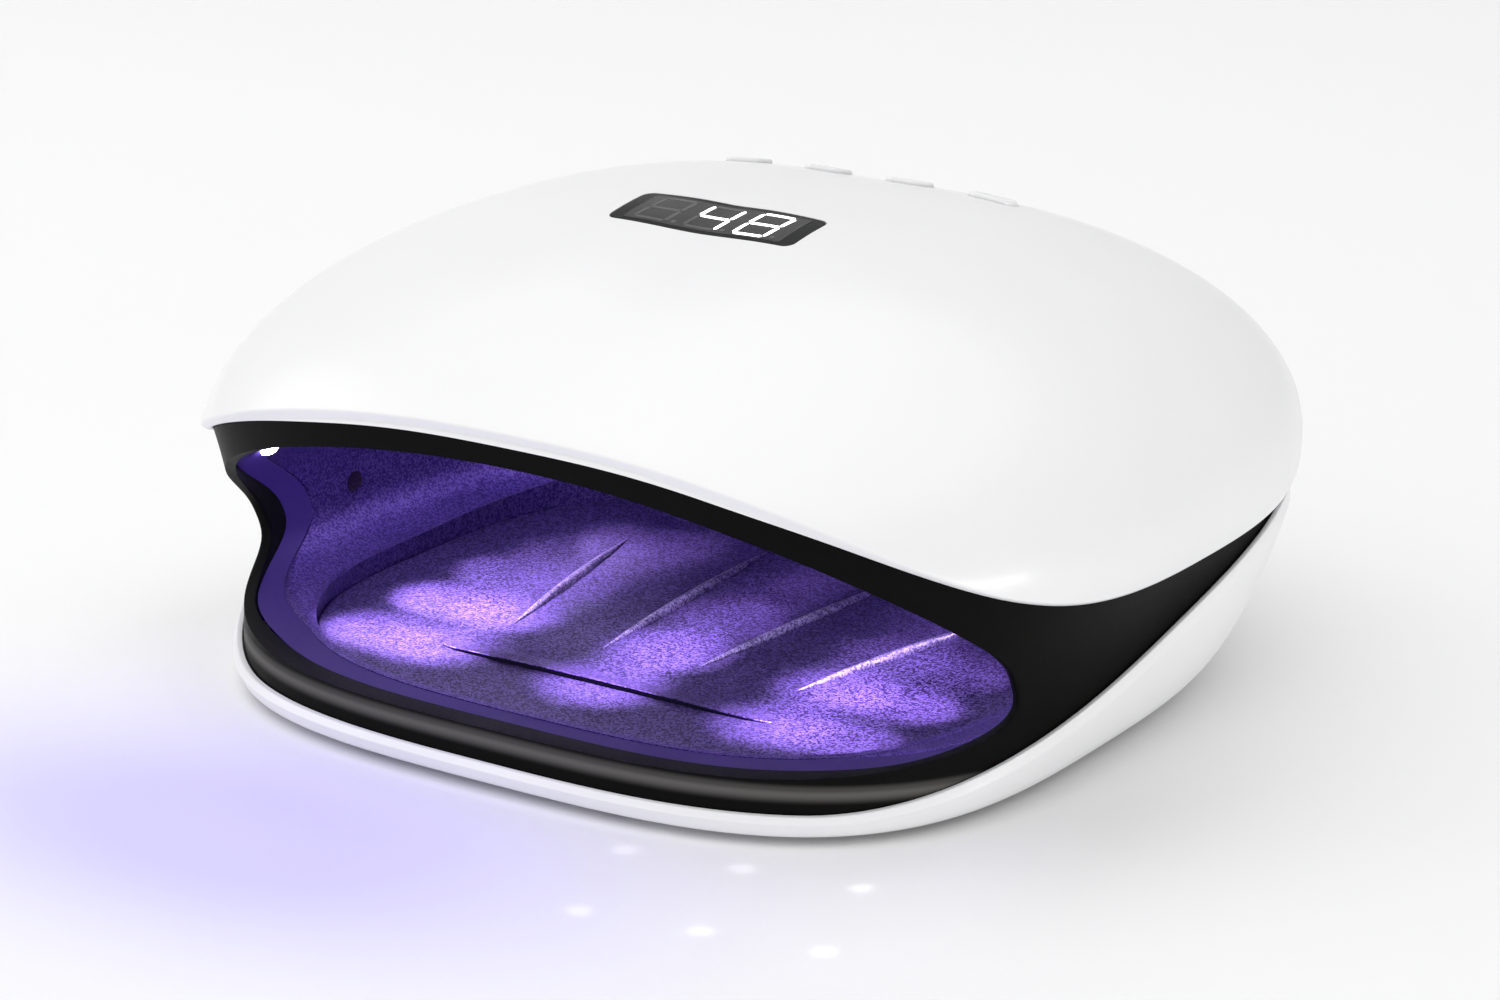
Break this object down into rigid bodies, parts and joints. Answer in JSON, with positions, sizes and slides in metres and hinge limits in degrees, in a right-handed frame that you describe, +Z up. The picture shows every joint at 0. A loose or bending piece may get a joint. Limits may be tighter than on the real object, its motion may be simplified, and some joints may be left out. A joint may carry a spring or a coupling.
{
  "type": "uv curing lamp",
  "caption": "Domed desk-top ultraviolet nail curing lamp with a wide hand mouth, drop-out ridged tray, top display and sprung push buttons.",
  "frame": {"origin": "on the table under the centre of the lamp's bounding box", "axes": "+Z up, the mouth faces -Y, +X to the right of someone facing the mouth"},
  "size_m": [0.2296, 0.2059, 0.104],
  "materials": {
    "white_gloss": "gloss",
    "white_satin": "satin",
    "black_satin": "fine grain satin",
    "reflector": "vacuum metallised",
    "tray_coating": "sparkling metallised coating",
    "led_lens": "clear",
    "board_white": "solder resist",
    "board_green": "solder resist",
    "chip_black": "moulded",
    "window_smoke": "smoked gloss",
    "steel": "zinc plated",
    "magnet_nickel": "nickel plated",
    "foot_rubber": "matte",
    "wire_red": "sleeve"
  },
  "bodies": {
    "housing": {"top_shell": "white_gloss", "front_bezel": "black_satin", "lower_housing": "white_satin", "reflector_roof": "reflector", "chamber_liner": "reflector", "led_beads": "led_lens", "led_boards": "board_white", "ir_sensors": "window_smoke", "keeper_magnets": "magnet_nickel", "switch_bodies": "chip_black", "control_board": "board_green", "board_parts": "chip_black", "board_screws": "steel", "shell_screws": "steel", "bezel_screws": "steel", "display_window": "window_smoke", "display_digits": "chip_black", "display_header": "board_green", "dc_jack": "chip_black", "power_lead": "wire_red"},
    "tray": {"tray": "tray_coating", "tray_magnets": "magnet_nickel", "feet": "foot_rubber"},
    "button_1": {"button_cap_1": "white_gloss", "switch_plunger_1": "chip_black"},
    "button_2": {"button_cap_2": "white_gloss", "switch_plunger_2": "chip_black"},
    "button_3": {"button_cap_3": "white_gloss", "switch_plunger_3": "chip_black"},
    "button_4": {"button_cap_4": "white_gloss", "switch_plunger_4": "chip_black"}
  },
  "joints": [
    {"name": "tray_drop", "type": "slide", "parent": "housing", "child": "tray", "axis": [0, 0, -1], "range_m": [0, 0.05]},
    {"name": "button_1_press", "type": "slide", "parent": "housing", "child": "button_1", "axis": [0, 0, -1], "range_m": [0, 0.001], "stiffness_N_per_m": 1500},
    {"name": "button_2_press", "type": "slide", "parent": "housing", "child": "button_2", "axis": [0, 0, -1], "range_m": [0, 0.001], "stiffness_N_per_m": 1500},
    {"name": "button_3_press", "type": "slide", "parent": "housing", "child": "button_3", "axis": [0, 0, -1], "range_m": [0, 0.001], "stiffness_N_per_m": 1500},
    {"name": "button_4_press", "type": "slide", "parent": "housing", "child": "button_4", "axis": [0, 0, -1], "range_m": [0, 0.001], "stiffness_N_per_m": 1500}
  ]
}
